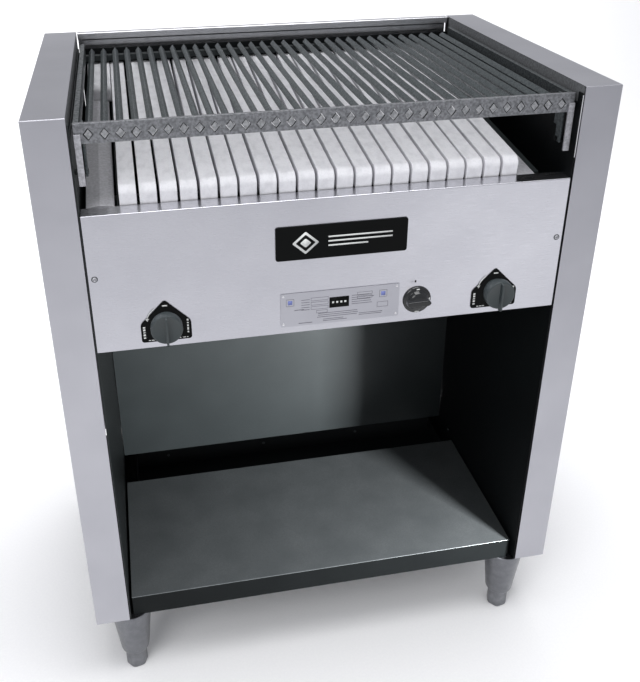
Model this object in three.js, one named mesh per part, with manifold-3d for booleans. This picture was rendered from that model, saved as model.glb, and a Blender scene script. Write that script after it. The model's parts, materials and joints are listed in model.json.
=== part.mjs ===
// Floor-standing gas charbroiler, in millimetres, +Z up, origin on the floor under the middle of the box.
// Inside the cabinet group, y is 0 at the front face of the side columns and grows towards the back.
import * as THREE from "three";
import { mergeVertices } from "three/addons/utils/BufferGeometryUtils.js";
import Module from "manifold-3d";

const wasm = await Module();
wasm.setup();

// ---- driving dimensions ----
const WIDTH = 794;
const DEPTH = 541;
const TOP_Z = 1005;
const COLUMN_WIDTH = 54.5;
const COLUMN_BOTTOM = 148;
const BASE_BOTTOM = 139;
const SHEET = 1.5;
const GAP = 0.3;

const PANEL_TOP = 875;
const PANEL_BOTTOM = 669;
const PANEL_WIDTH = 678.6;
const PANEL_FLANGE = 28;
const CONTROL_Z = 709;
const KNOB_X = 242;
const PILOT_X = 119;
const KNOB_RADIUS = 22;
const KNOB_REACH = 32;

const GRATE_HALF = 336;
const GRATE_FRONT_Y = 14;
const GRATE_TIP_Y = 503;
const ROD_COUNT = 33;
const ROD_PITCH = 19.85;
const ROD_HALF_WIDTH = 5.2;
const ROD_HALF_HEIGHT = 6.6;
const ROD_Z = 978.7;

const RADIANT_COUNT = 21;
const RADIANT_PITCH = 26.87;
const RADIANT_WIDTH = 22.4;
const RADIANT_HEIGHT = 30;
const RADIANT_LENGTH = 480;
const SHORT_RADIANT_START = 362;
const SHORT_RADIANT_WIDTH = 37;
const RADIANT_FIRST_X = -288.5;
const BED_FRONT_Y = 31;
const BED_FRONT_Z = 871.4;
const BED_SLOPE = THREE.MathUtils.degToRad(7.2);

const SHELF_Z = 179;
const SHELF_FRONT_Y = 17;
const SHELF_BACK_Y = 312;
const CABINET_BACK_Y = 397;

const LEG_X = 341;
const LEG_HEIGHT = 99;
const LEG_TOP_RADIUS = 36;
const LEG_BOTTOM_RADIUS = 24;
const LEG_BORE_RADIUS = 6.6;
const FOOT_HEIGHT = 37.5;
const FOOT_RADIUS = 20;
const FOOT_STEM_RADIUS = 6;

// ---- dimensions worked out from them ----
const HALF_WIDTH = WIDTH / 2;
const COLUMN_INNER = HALF_WIDTH - COLUMN_WIDTH;
const LINER_X = COLUMN_INNER - 2.3;
const BACK_Y = DEPTH - SHEET;
const FIREBOX_BACK_Y = 511;
const LEG_FRONT_Y = 44;
const LEG_BACK_Y = 497;
const MANIFOLD_Y = 40;
const MANIFOLD_Z = CONTROL_Z - 26;
const MANIFOLD_RADIUS = 13.4;
const PAN_TOP = 661;
const PAN_HEIGHT = 38;

// ---- materials ----
function material(color, roughness, metalness) {
  return new THREE.MeshStandardMaterial({ color, roughness, metalness });
}
const STAINLESS = material(0xb4b4be, 0.35, 1);
const DARK_STEEL = material(0x232a2b, 0.5, 0.6);
const MILL_STEEL = material(0x83868a, 0.5, 0.9);
const ROD_STEEL = material(0x5c6466, 0.5, 0.8);
const CERAMIC = material(0xe4e4e8, 0.9, 0);
const CAST_IRON = material(0x3a3b3c, 0.8, 0.5);
const BRASS = material(0xb08d4f, 0.4, 1);
const BLACK_PLASTIC = material(0x17191a, 0.4, 0);
const PRINTED_BLACK = material(0x101112, 0.35, 0.2);
const PRINTED_SILVER = material(0xc9cad2, 0.4, 0.6);
const CAST_ALUMINIUM = material(0xa4a6a8, 0.45, 0.9);

// ---- solids: geometry in, manifold solid out, joined and cut, and back to a named mesh ----
function solid(geometry) {
  const bare = geometry.index ? geometry.toNonIndexed() : geometry.clone();
  bare.deleteAttribute("normal");
  bare.deleteAttribute("uv");
  const merged = mergeVertices(bare, 1e-4);
  return new wasm.Manifold(
    new wasm.Mesh({
      numProp: 3,
      vertProperties: merged.getAttribute("position").array,
      triVerts: new Uint32Array(merged.index.array),
    }),
  );
}

function join(solids) {
  return solids.reduce((sum, next) => sum.add(next));
}

function cut(body, tools) {
  return tools.reduce((left, tool) => left.subtract(tool), body);
}

const cabinet = new THREE.Group();
cabinet.position.y = (KNOB_REACH - DEPTH) / 2;

function place(name, body, finish, parent = cabinet) {
  const made = body.getMesh();
  const geometry = new THREE.BufferGeometry();
  geometry.setAttribute("position", new THREE.BufferAttribute(made.vertProperties, 3));
  geometry.setIndex(new THREE.BufferAttribute(made.triVerts, 1));
  geometry.computeVertexNormals();
  const mesh = new THREE.Mesh(geometry, finish);
  mesh.name = name;
  parent.add(mesh);
  return mesh;
}

// A right-hand piece, and its mirror image on the left.
function placePair(name, body, finish) {
  place("right_" + name, body, finish);
  place("left_" + name, body, finish).scale.x = -1;
}

// ---- shapes ----
// A box between two corners.
function box(x0, x1, y0, y1, z0, z1) {
  const geometry = new THREE.BoxGeometry(x1 - x0, y1 - y0, z1 - z0);
  geometry.translate((x0 + x1) / 2, (y0 + y1) / 2, (z0 + z1) / 2);
  return solid(geometry);
}

// Two boxes, mirror images of each other, from their distances to the middle plane.
function boxPair(near, far, y0, y1, z0, z1) {
  return [box(-far, -near, y0, y1, z0, z1), box(near, far, y0, y1, z0, z1)];
}

// An outline of [y, z] points, drawn out along X from x0 to x1.
function alongX(points, x0, x1) {
  const shape = new THREE.Shape(points.map(([y, z]) => new THREE.Vector2(y, z)));
  const geometry = new THREE.ExtrudeGeometry(shape, { depth: x1 - x0, bevelEnabled: false });
  const turn = new THREE.Matrix4().makeBasis(
    new THREE.Vector3(0, 1, 0),
    new THREE.Vector3(0, 0, 1),
    new THREE.Vector3(1, 0, 0),
  );
  geometry.applyMatrix4(turn);
  geometry.translate(x0, 0, 0);
  return solid(geometry);
}

// An outline of [x, z] points, drawn out along Y from y0 to y1.
function alongY(points, y0, y1) {
  const shape = new THREE.Shape(points.map(([x, z]) => new THREE.Vector2(x, z)));
  const geometry = new THREE.ExtrudeGeometry(shape, { depth: y1 - y0, bevelEnabled: false });
  geometry.rotateX(Math.PI / 2);
  geometry.translate(0, y1, 0);
  return solid(geometry);
}

// An outline of [x, y] points, drawn up along Z from z0 to z1.
function alongZ(points, z0, z1) {
  const shape = new THREE.Shape(points.map(([x, y]) => new THREE.Vector2(x, y)));
  const geometry = new THREE.ExtrudeGeometry(shape, { depth: z1 - z0, bevelEnabled: false });
  geometry.translate(0, 0, z0);
  return solid(geometry);
}

function cylinderX(radius, x0, x1, y, z, sides = 16) {
  const geometry = new THREE.CylinderGeometry(radius, radius, x1 - x0, sides);
  geometry.rotateZ(Math.PI / 2);
  geometry.translate((x0 + x1) / 2, y, z);
  return solid(geometry);
}

function cylinderY(radius, y0, y1, x, z, sides = 16) {
  const geometry = new THREE.CylinderGeometry(radius, radius, y1 - y0, sides);
  geometry.translate(x, (y0 + y1) / 2, z);
  return solid(geometry);
}

function cylinderZ(radius, z0, z1, x, y, sides = 16) {
  const geometry = new THREE.CylinderGeometry(radius, radius, z1 - z0, sides);
  geometry.rotateX(Math.PI / 2);
  geometry.translate(x, y, (z0 + z1) / 2);
  return solid(geometry);
}

// A profile of [radius, height] points turned about a vertical axis.
function turned(profile, x, y, z, sides = 24) {
  const points = profile.map(([radius, height]) => new THREE.Vector2(radius, height));
  const geometry = new THREE.LatheGeometry(points, sides);
  geometry.rotateX(Math.PI / 2);
  geometry.translate(x, y, z);
  return solid(geometry);
}

// A round bar or pipe along a smooth path of [x, y, z] points.
function tube(points, radius, steps, sides = 12) {
  const path = new THREE.CatmullRomCurve3(points.map((p) => new THREE.Vector3(...p)), false, "chordal");
  const section = new THREE.Shape();
  for (let i = 0; i < sides; i++) {
    const angle = (2 * Math.PI * i) / sides;
    section[i ? "lineTo" : "moveTo"](radius * Math.cos(angle), radius * Math.sin(angle));
  }
  return solid(new THREE.ExtrudeGeometry(section, { steps, extrudePath: path, bevelEnabled: false }));
}

// A square bar on edge along Y, ground to a point at its far end.
function pointedRod(x, y0, y1, z, tip) {
  const profile = [[0, y0], [1, y0], [1, y1 - tip], [0, y1]];
  const geometry = new THREE.LatheGeometry(profile.map(([r, y]) => new THREE.Vector2(r, y)), 4);
  geometry.scale(ROD_HALF_WIDTH, 1, ROD_HALF_HEIGHT);
  geometry.translate(x, 0, z);
  return solid(geometry);
}

function rodX(index) {
  return (index - (ROD_COUNT - 1) / 2) * ROD_PITCH;
}

// ---- body: side columns, liners and backs ----
// Outer wall, front flange, top cap, rear flange and the cap's inner edge, folded from one sheet.
function sidePanel() {
  const edgeDrop = 25;
  const inner = COLUMN_INNER;
  const insideTop = TOP_Z - SHEET;
  const below = COLUMN_BOTTOM - 1;
  return cut(box(inner, HALF_WIDTH, 0, DEPTH, COLUMN_BOTTOM, TOP_Z), [
    box(inner + SHEET, HALF_WIDTH - SHEET, SHEET, BACK_Y, below, insideTop),
    box(inner - 1, inner + SHEET + 1, SHEET, BACK_Y, below, TOP_Z - edgeDrop),
    box(inner - 1, inner + SHEET + 1, DEPTH - 18, BACK_Y, below, insideTop),
  ]);
}

// Dark inner wall with the rail for the drip pan and the pin that the grate's bracket rests on.
function innerLiner() {
  const front = 1.8;
  const top = TOP_Z - 26;
  const thickness = 1.3;
  const outline = [
    [front, COLUMN_BOTTOM],
    [FIREBOX_BACK_Y + 12, COLUMN_BOTTOM],
    [FIREBOX_BACK_Y + 12, top],
    [front + 12, top],
    [front + 12, TOP_Z - 10],
    [front, TOP_Z - 10],
  ];
  const pinTop = TOP_Z - 76.4;
  return join([
    alongX(outline, LINER_X, LINER_X + thickness),
    box(326, LINER_X + 0.5, 60, 505, PAN_TOP - 3.5, PAN_TOP - 2),
    cylinderX(4, 323, LINER_X + 0.5, 33, pinTop - 4, 12),
  ]);
}

// Rear sheet whose top is folded forward into a stepped rail, with the hole that the gas inlet comes through.
function outerBackPanel() {
  const half = COLUMN_INNER - 2;
  const railFront = DEPTH - 15;
  const sheet = join([
    box(-half, half, BACK_Y, DEPTH, COLUMN_BOTTOM, TOP_Z),
    box(-half, half, railFront, DEPTH, TOP_Z - SHEET, TOP_Z),
    box(-half, half, railFront, railFront + SHEET, TOP_Z - 11, TOP_Z),
    box(-half, half, railFront, railFront + 4, TOP_Z - 12.5, TOP_Z - 11),
    box(-half + 6.5, half - 6.5, railFront + 2.5, railFront + 4, TOP_Z - 22, TOP_Z - 11),
  ]);
  return cut(sheet, [cylinderY(16, DEPTH - 5, DEPTH + 5, 318, MANIFOLD_Z, 24)]);
}

// Back wall of the fire space, with the ledge that the grate's rear end lies on.
function fireboxBackLiner() {
  const half = LINER_X - SHEET;
  const ledgeTop = ROD_Z - ROD_HALF_HEIGHT - 0.6;
  return join([
    box(-half, half, FIREBOX_BACK_Y, FIREBOX_BACK_Y + SHEET, 705, TOP_Z - 24),
    box(-half, half, 497, FIREBOX_BACK_Y + SHEET, ledgeTop - SHEET, ledgeTop),
  ]);
}

// Back wall of the storage space, with a flange that runs back to close the chase above it.
function cabinetBackPanel() {
  const half = LINER_X - SHEET;
  const top = PAN_TOP - PAN_HEIGHT - 5;
  return join([
    box(-half, half, CABINET_BACK_Y, CABINET_BACK_Y + SHEET, SHELF_Z + 0.5, top),
    box(-half, half, CABINET_BACK_Y, DEPTH - 5, top - SHEET, top),
  ]);
}

placePair("side_panel", sidePanel(), STAINLESS);
placePair("inner_liner", innerLiner(), DARK_STEEL);
place("outer_back_panel", outerBackPanel(), STAINLESS);
place("firebox_back_liner", fireboxBackLiner(), DARK_STEEL);
place("cabinet_back_panel", cabinetBackPanel(), DARK_STEEL);

// ---- base ----
// Two side rails with a rear channel and a front cross-member between them.
function baseFrame() {
  const inner = 314;
  const outer = 392;
  const front = SHELF_FRONT_Y + SHEET + 1;
  const back = DEPTH - 17;
  const webTop = SHELF_Z - 2;
  const floor = BASE_BOTTOM + 1;
  const half = inner + 0.8;
  const crossFront = 30;
  const channelFloor = floor + 0.3;
  return join([
    ...boxPair(inner, outer, front, back, BASE_BOTTOM, BASE_BOTTOM + 2 * SHEET),
    ...boxPair(inner, inner + SHEET, front, back, BASE_BOTTOM, webTop),
    ...boxPair(outer - SHEET, outer, front, back, BASE_BOTTOM, webTop),
    box(-half, half, crossFront, crossFront + SHEET, floor, webTop - 1),
    box(-half, half, back - 2, back - 0.5, floor, webTop - 1),
    box(-half, half, CABINET_BACK_Y, CABINET_BACK_Y + SHEET, floor, SHELF_Z - 0.5),
    box(0.2 - half, half - 0.2, 325, CABINET_BACK_Y + 1, channelFloor, channelFloor + SHEET),
  ]);
}

// Flat shelf with a deep front lip and a short lip turned down at its back edge.
function bottomShelf() {
  const half = 336;
  return join([
    box(-half, half, SHELF_FRONT_Y, SHELF_BACK_Y, SHELF_Z - SHEET, SHELF_Z),
    box(-half, half, SHELF_FRONT_Y, SHELF_FRONT_Y + SHEET, BASE_BOTTOM, SHELF_Z),
    box(24 - half, half - 24, SHELF_BACK_Y - SHEET, SHELF_BACK_Y, SHELF_Z - 22, SHELF_Z),
  ]);
}

place("base_frame", baseFrame(), DARK_STEEL);
place("bottom_shelf", bottomShelf(), DARK_STEEL);

// ---- legs and feet ----
const legTop = BASE_BOTTOM - GAP;
const legBottom = legTop - LEG_HEIGHT;

// Turned leg, tapered towards the foot, with a bore from below for the foot's stem.
function leg(x, y) {
  const boreTop = LEG_HEIGHT - 30;
  const profile = [
    [0, boreTop],
    [LEG_BORE_RADIUS, boreTop],
    [LEG_BORE_RADIUS, 0],
    [LEG_BOTTOM_RADIUS, 0],
    [LEG_TOP_RADIUS - 2, LEG_HEIGHT - 5],
    [LEG_TOP_RADIUS, LEG_HEIGHT - 4],
    [LEG_TOP_RADIUS, LEG_HEIGHT],
    [0, LEG_HEIGHT],
  ];
  return turned(profile, x, y, legBottom);
}

// Levelling foot: a round pad with a chamfered edge and a plain stem for its thread.
function foot(x, y) {
  const stemTop = FOOT_HEIGHT + 60;
  const profile = [
    [0, 0],
    [FOOT_RADIUS - 4, 0],
    [FOOT_RADIUS, 6],
    [FOOT_RADIUS, FOOT_HEIGHT - 1],
    [FOOT_RADIUS - 1, FOOT_HEIGHT],
    [FOOT_STEM_RADIUS, FOOT_HEIGHT],
    [FOOT_STEM_RADIUS, stemTop],
    [0, stemTop],
  ];
  return turned(profile, x, y, 0);
}

for (const [end, y] of [["front", LEG_FRONT_Y], ["rear", LEG_BACK_Y]]) {
  for (const [side, x] of [["left", -LEG_X], ["right", LEG_X]]) {
    place(end + "_" + side + "_leg", leg(x, y), CAST_ALUMINIUM);
    place(end + "_" + side + "_foot", foot(x, y), CAST_ALUMINIUM);
  }
}

// ---- control panel and its plates ----
function controlPanel() {
  const half = PANEL_WIDTH / 2;
  const face = 0.5;
  const sheet = join([
    box(-half, half, face, face + SHEET, PANEL_BOTTOM, PANEL_TOP),
    box(-half, half, face, PANEL_FLANGE, PANEL_TOP - SHEET, PANEL_TOP),
    box(-half, half, face, 12, PANEL_BOTTOM, PANEL_BOTTOM + SHEET),
  ]);
  const holes = [-KNOB_X, PILOT_X, KNOB_X].map((x) => cylinderY(7, -5, 5, x, CONTROL_Z, 20));
  return cut(sheet, holes);
}

// Five-sided black plate behind a burner knob, pointed at the top where OFF is.
function knobBezel(x) {
  const half = 35;
  const outline = [
    [x - half, CONTROL_Z - 30],
    [x + half, CONTROL_Z - 30],
    [x + half, CONTROL_Z - 1],
    [x + 3, CONTROL_Z + 31],
    [x - 3, CONTROL_Z + 31],
    [x - half, CONTROL_Z - 1],
  ];
  return cut(alongY(outline, -1, 0.2), [cylinderY(7, -5, 5, x, CONTROL_Z, 20)]);
}

place("control_panel", controlPanel(), STAINLESS);
placePair("knob_bezel", knobBezel(KNOB_X), PRINTED_BLACK);
place("name_plate", box(-86, 102, -1.5, 0.2, 786, 836.5), PRINTED_BLACK);
place("rating_plate", box(-80, 95, -0.6, 0.2, 680.5, 734), PRINTED_SILVER);

// ---- gas train ----
// Manifold pipe across the front, with an elbow and the inlet run to the back on the right.
function gasManifold() {
  return join([
    cylinderX(MANIFOLD_RADIUS, -262, 318, MANIFOLD_Y, MANIFOLD_Z),
    cylinderX(MANIFOLD_RADIUS + 3, -270, -256, MANIFOLD_Y, MANIFOLD_Z),
    cylinderY(MANIFOLD_RADIUS, MANIFOLD_Y, DEPTH - 2, 318, MANIFOLD_Z),
    cylinderX(MANIFOLD_RADIUS + 3, 296, 318, MANIFOLD_Y, MANIFOLD_Z),
    cylinderY(MANIFOLD_RADIUS + 3, MANIFOLD_Y - 16, MANIFOLD_Y + 24, 318, MANIFOLD_Z),
  ]);
}

// Valve body on the manifold, with a bore for the knob's stem and an orifice hood pointing at the burner.
function burnerValve(x) {
  const body = join([
    cylinderY(12, 14, 50, x, CONTROL_Z),
    cylinderY(6, 49, 66, x, CONTROL_Z, 6),
    cylinderZ(7, MANIFOLD_Z + MANIFOLD_RADIUS + GAP, CONTROL_Z, x, MANIFOLD_Y, 12),
  ]);
  return cut(body, [cylinderY(4.6, 10, 30, x, CONTROL_Z, 12)]);
}

function pilotSafetyValve() {
  const body = join([
    box(PILOT_X - 20, PILOT_X + 20, 16, 56, CONTROL_Z - 11, CONTROL_Z + 26),
    cylinderY(11, 55, 74, PILOT_X, CONTROL_Z + 10, 16),
    cylinderX(6, PILOT_X - 28, PILOT_X - 18, 46, CONTROL_Z + 16, 6),
    cylinderZ(7, MANIFOLD_Z + MANIFOLD_RADIUS + GAP, CONTROL_Z, PILOT_X, MANIFOLD_Y, 12),
  ]);
  return cut(body, [cylinderY(4.6, 10, 36, PILOT_X, CONTROL_Z, 12)]);
}

// Pilot head on the left of the bed, with its gas tube back to the safety valve.
function pilotBurner() {
  const low = CONTROL_Z + 16;
  const route = [
    [PILOT_X - 28.6, 46, low],
    [PILOT_X - 40, 46, low],
    [PILOT_X - 70, 62, low],
    [0, 66, low],
    [-260, 66, low],
    [-300, 66, low + 4],
    [-314, 70, low + 24],
    [-316, 74, 820],
    [-316, 78, 848],
  ];
  return join([
    tube(route, 3, 44, 8),
    cylinderZ(8, 835, 856, -316, 80, 12),
    box(-322, -310, 76, 118, 852, 860),
  ]);
}

// Cast burner: a mixing tube rises from the orifice into the outer run, and a crossover feeds the inner run.
function burner() {
  const outer = KNOB_X;
  const inner = 92;
  const runZ = 800;
  const neck = [
    [outer, 74, CONTROL_Z],
    [outer, 112, CONTROL_Z],
    [outer, 150, CONTROL_Z + 46],
    [outer, 188, runZ],
    [outer, 230, runZ],
  ];
  return join([
    tube(neck, 14, 16, 14),
    cylinderY(18, 72.5, 88, outer, CONTROL_Z, 18),
    cylinderY(16, 180, 462, outer, runZ, 14),
    cylinderY(16, 80, 462, inner, runZ, 14),
    cylinderX(16, inner, outer, 300, runZ, 14),
    cylinderY(5, 460, 486, outer, runZ, 8),
  ]);
}

place("gas_manifold", gasManifold(), DARK_STEEL);
placePair("burner_valve", burnerValve(KNOB_X), BRASS);
place("pilot_safety_valve", pilotSafetyValve(), BRASS);
place("pilot_burner", pilotBurner(), BRASS);
placePair("burner", burner(), CAST_IRON);

// ---- knobs ----
// Round burner knob with a thin pointer fin across its face and its stem into the valve.
function burnerKnob(x) {
  const fin = 1.6;
  return join([
    cylinderY(KNOB_RADIUS, -25, -11, x, CONTROL_Z, 40),
    cylinderY(KNOB_RADIUS - 4, -12, -3.5, x, CONTROL_Z, 40),
    box(x - fin, x + fin, -KNOB_REACH, -12, CONTROL_Z - KNOB_RADIUS - 1.5, CONTROL_Z + KNOB_RADIUS - 1),
    cylinderY(4, -5, 27, x, CONTROL_Z, 12),
  ]);
}

// Round skirt with a bar grip across it, bored for the pilot stem.
function pilotKnob() {
  const body = join([
    cylinderY(21, -13, -6.5, PILOT_X, CONTROL_Z, 40),
    cylinderY(14, -20, -12, PILOT_X, CONTROL_Z, 32),
    box(PILOT_X - 18, PILOT_X + 18, -26, -12, CONTROL_Z - 4.5, CONTROL_Z + 4.5),
  ]);
  return cut(body, [cylinderY(4.4, -16, 0, PILOT_X, CONTROL_Z, 12)]);
}

placePair("knob", burnerKnob(KNOB_X), BLACK_PLASTIC);
place("pilot_knob", pilotKnob(), BLACK_PLASTIC);
place("pilot_stem", cylinderY(4, -15.5, 30, PILOT_X, CONTROL_Z, 12), BRASS);

// ---- firebox and the ceramic bed ----
// Four walls open at top and bottom. The front and rear walls have ledges for the ends of the radiant bars.
function firebox() {
  const left = -292;
  const right = 300;
  const front = 34;
  const back = 492;
  const bottom = 755;
  const rise = Math.tan(BED_SLOPE);
  const sideTop = BED_FRONT_Z - 1.5;
  const sideTopBack = sideTop + (back - front) * rise;
  const wall = [[front, bottom], [back, bottom], [back, sideTopBack], [front, sideTop]];
  const hemEnd = back - 3;
  const hemRise = (hemEnd - front - 2) * rise;
  const hem = [
    [front + 2, sideTop - 4],
    [hemEnd, sideTop - 4 + hemRise],
    [hemEnd, sideTop + 5 + hemRise],
    [front + 2, sideTop + 5],
  ];
  const frontTop = BED_FRONT_Z - 1.1;
  const backTop = BED_FRONT_Z + (476 - BED_FRONT_Y) * rise - 0.7;
  return join([
    alongX(wall, left, left + SHEET),
    alongX(wall, right, right + SHEET),
    alongX(hem, right - 0.5, right + 7.5),
    box(left, right, front, front + SHEET, bottom, frontTop),
    box(left, right, front, front + 12, frontTop - SHEET, frontTop),
    box(left, right, back - SHEET, back, bottom, backTop),
    box(left, right, back - 16, back, backTop - SHEET, backTop),
  ]);
}

const bed = new THREE.Group();
bed.position.set(0, BED_FRONT_Y, BED_FRONT_Z);
bed.rotation.x = BED_SLOPE;
cabinet.add(bed);

// One bar in the bed's own frame, lying along Y, with its top front and top rear edges taken off.
function radiantBar(x0, width, y0) {
  const y1 = RADIANT_LENGTH;
  const edge = 7;
  const outline = [
    [y0, 0],
    [y1, 0],
    [y1, RADIANT_HEIGHT - edge],
    [y1 - edge, RADIANT_HEIGHT],
    [y0 + edge, RADIANT_HEIGHT],
    [y0, RADIANT_HEIGHT - edge],
  ];
  return alongX(outline, x0, x0 + width);
}

place("firebox", firebox(), DARK_STEEL);
for (let i = 0; i < RADIANT_COUNT; i++) {
  const number = String(i + 1).padStart(2, "0");
  const x0 = RADIANT_FIRST_X + i * RADIANT_PITCH;
  place("radiant_bar_" + number, radiantBar(x0, RADIANT_WIDTH, 0), CERAMIC, bed);
}
const shortRadiant = radiantBar(-327, SHORT_RADIANT_WIDTH, SHORT_RADIANT_START);
place("radiant_bar_short", shortRadiant, CERAMIC, bed);

// Folded cover over the pilot: a low ridge in the bed's own frame.
function pilotBaffle() {
  const outline = [[-332, 2], [-314, 5], [-296, 2], [-296, 0.5], [-314, 3.5], [-332, 0.5]];
  return alongY(outline.reverse(), 0, SHORT_RADIANT_START - 4);
}
place("pilot_baffle", pilotBaffle(), STAINLESS, bed);

// ---- drip pan ----
// Open tray hung by its rims on the liners' rails, with a pull lip at the front.
function dripPan() {
  const half = 322;
  const rim = half + 14;
  const front = 82;
  const back = 500;
  const lipHalf = 90;
  const lipFront = front - 18;
  const bottom = PAN_TOP - PAN_HEIGHT;
  const tray = cut(box(-half, half, front, back, bottom, PAN_TOP), [
    box(-half + SHEET, half - SHEET, front + SHEET, back - SHEET, bottom + SHEET, PAN_TOP + 5),
  ]);
  return join([
    tray,
    ...boxPair(half - SHEET, rim, front, back, PAN_TOP - SHEET, PAN_TOP),
    box(-lipHalf, lipHalf, lipFront, front + SHEET, PAN_TOP - SHEET, PAN_TOP),
    box(-lipHalf, lipHalf, lipFront, lipFront + SHEET, PAN_TOP - 10, PAN_TOP),
  ]);
}
place("drip_pan", dripPan(), DARK_STEEL);

// ---- cooking grate ----
// Front bar with a row of diamond holes, and at each end a hanger strap and a stepped bracket plate.
function grateFrontBar() {
  const clearance = 0.7;
  const strap = GRATE_HALF - 8.6;
  const plateFar = strap - 1;
  const bar = box(-GRATE_HALF, GRATE_HALF, GRATE_FRONT_Y, GRATE_FRONT_Y + 6, TOP_Z - 38, TOP_Z - 11.5);
  const holes = [];
  for (let i = 0; i < ROD_COUNT; i++) {
    const x = rodX(i);
    const outline = [
      [x - ROD_HALF_WIDTH - clearance, ROD_Z],
      [x, ROD_Z - ROD_HALF_HEIGHT - clearance],
      [x + ROD_HALF_WIDTH + clearance, ROD_Z],
      [x, ROD_Z + ROD_HALF_HEIGHT + clearance],
    ];
    holes.push(alongY(outline, GRATE_FRONT_Y - 3, GRATE_FRONT_Y + 9));
  }
  const plate = [
    [19, TOP_Z - 83],
    [25, TOP_Z - 83],
    [25, TOP_Z - 76],
    [40, TOP_Z - 76],
    [40, TOP_Z - 15],
    [19, TOP_Z - 15],
  ];
  return join([
    cut(bar, holes),
    ...boxPair(strap, GRATE_HALF, GRATE_FRONT_Y - 3, GRATE_FRONT_Y + 0.5, TOP_Z - 93, TOP_Z - 25),
    alongX(plate, -plateFar, 3 - plateFar),
    alongX(plate, plateFar - 3, plateFar),
  ]);
}

// Rods welded on a rear cross-bar, with a flat bar down each side.
function grateRodFrame() {
  const rods = [];
  for (let i = 0; i < ROD_COUNT; i++) {
    rods.push(pointedRod(rodX(i), GRATE_FRONT_Y + 0.3, GRATE_TIP_Y, ROD_Z, 14));
  }
  const half = GRATE_HALF - 0.5;
  return join([
    ...rods,
    box(-half, half, 484, 494, TOP_Z - 41, TOP_Z - 31),
    ...boxPair(half - 7, half, GRATE_FRONT_Y + 6.6, 490, TOP_Z - 37, TOP_Z - 12),
  ]);
}

place("grate_front_bar", grateFrontBar(), MILL_STEEL);
place("grate_rod_frame", grateRodFrame(), ROD_STEEL);

const charbroiler = new THREE.Group();
charbroiler.add(cabinet);
export default charbroiler;
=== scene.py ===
"""Looks of a floor-standing charbroiler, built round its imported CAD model. Metres, +Z up."""

import json
import math
import random

import bmesh
import bpy
from mathutils import Matrix, Vector

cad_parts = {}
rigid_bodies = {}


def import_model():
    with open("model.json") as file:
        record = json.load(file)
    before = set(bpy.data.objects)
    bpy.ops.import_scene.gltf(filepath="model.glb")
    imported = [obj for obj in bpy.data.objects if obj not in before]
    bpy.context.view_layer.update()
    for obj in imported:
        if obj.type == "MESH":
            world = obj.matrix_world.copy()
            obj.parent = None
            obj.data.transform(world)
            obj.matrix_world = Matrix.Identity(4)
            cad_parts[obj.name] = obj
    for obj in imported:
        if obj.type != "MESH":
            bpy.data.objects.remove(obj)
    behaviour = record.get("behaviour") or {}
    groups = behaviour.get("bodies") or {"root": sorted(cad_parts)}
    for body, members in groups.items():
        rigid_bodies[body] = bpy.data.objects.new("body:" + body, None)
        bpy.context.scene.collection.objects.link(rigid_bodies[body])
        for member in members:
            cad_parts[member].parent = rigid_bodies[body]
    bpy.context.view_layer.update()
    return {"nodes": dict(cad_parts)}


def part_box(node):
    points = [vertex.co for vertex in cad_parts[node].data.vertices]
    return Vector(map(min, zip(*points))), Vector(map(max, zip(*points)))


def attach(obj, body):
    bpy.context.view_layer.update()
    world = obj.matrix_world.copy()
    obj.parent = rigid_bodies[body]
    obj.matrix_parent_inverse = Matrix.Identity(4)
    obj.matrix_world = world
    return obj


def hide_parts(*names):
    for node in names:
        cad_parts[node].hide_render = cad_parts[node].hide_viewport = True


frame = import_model()
nodes = frame["nodes"]
rng = random.Random(7)

# ---- sizes, in metres, beside those that the frame gives ----
MM = 0.001
SHEET = 1.5 * MM
FOLD = 1.6 * MM
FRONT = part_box("left_side_panel")[0].y
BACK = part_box("left_side_panel")[1].y
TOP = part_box("left_side_panel")[1].z
PANEL_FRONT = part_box("control_panel")[0].y
CONTROL_Z = (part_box("left_knob")[0].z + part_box("left_knob")[1].z) / 2 + 1.25 * MM
MANIFOLD_Z = (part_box("gas_manifold")[0].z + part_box("gas_manifold")[1].z) / 2
CAP_DROP = 25 * MM
RAIL_DEPTH = 15 * MM
INLET_X = 318 * MM
INLET_HOLE_RADIUS = 16 * MM
INLET_THREAD_RADIUS = 13.2 * MM
PANEL_SCREW_X = 331 * MM
PANEL_SCREW_Z = 784 * MM
PRINT_THICKNESS = 0.12 * MM

ROD_COUNT = 33
ROD_PITCH = 19.85 * MM
ROD_HALF_WIDTH = 5.2 * MM
ROD_HALF_HEIGHT = 6.6 * MM
ROD_Z = TOP - 26.3 * MM
BAR_TOP = TOP - 11.5 * MM
BAR_BOTTOM = TOP - 38 * MM
BAR_FRONT = FRONT + 14 * MM
BAR_DEPTH = 6 * MM
GRATE_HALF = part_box("grate_front_bar")[1].x

BED_SLOPE = math.radians(7.2)
RADIANT_HEIGHT = 30 * MM
RADIANT_EDGE = 7 * MM
BED_LEAN = (RADIANT_HEIGHT - RADIANT_EDGE) * math.sin(BED_SLOPE)

LEG_BOTTOM_RADIUS = 24 * MM
LEG_BORE_RADIUS = 6.6 * MM
LEG_BORE_DEPTH = 30 * MM
FOOT_PAD_TOP = 37.5 * MM
FOOT_STEM_RADIUS = 6 * MM

PAN_HALF = 322 * MM
PAN_LIP_HALF = 90 * MM
PAN_LIP_REACH = 18 * MM


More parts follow.
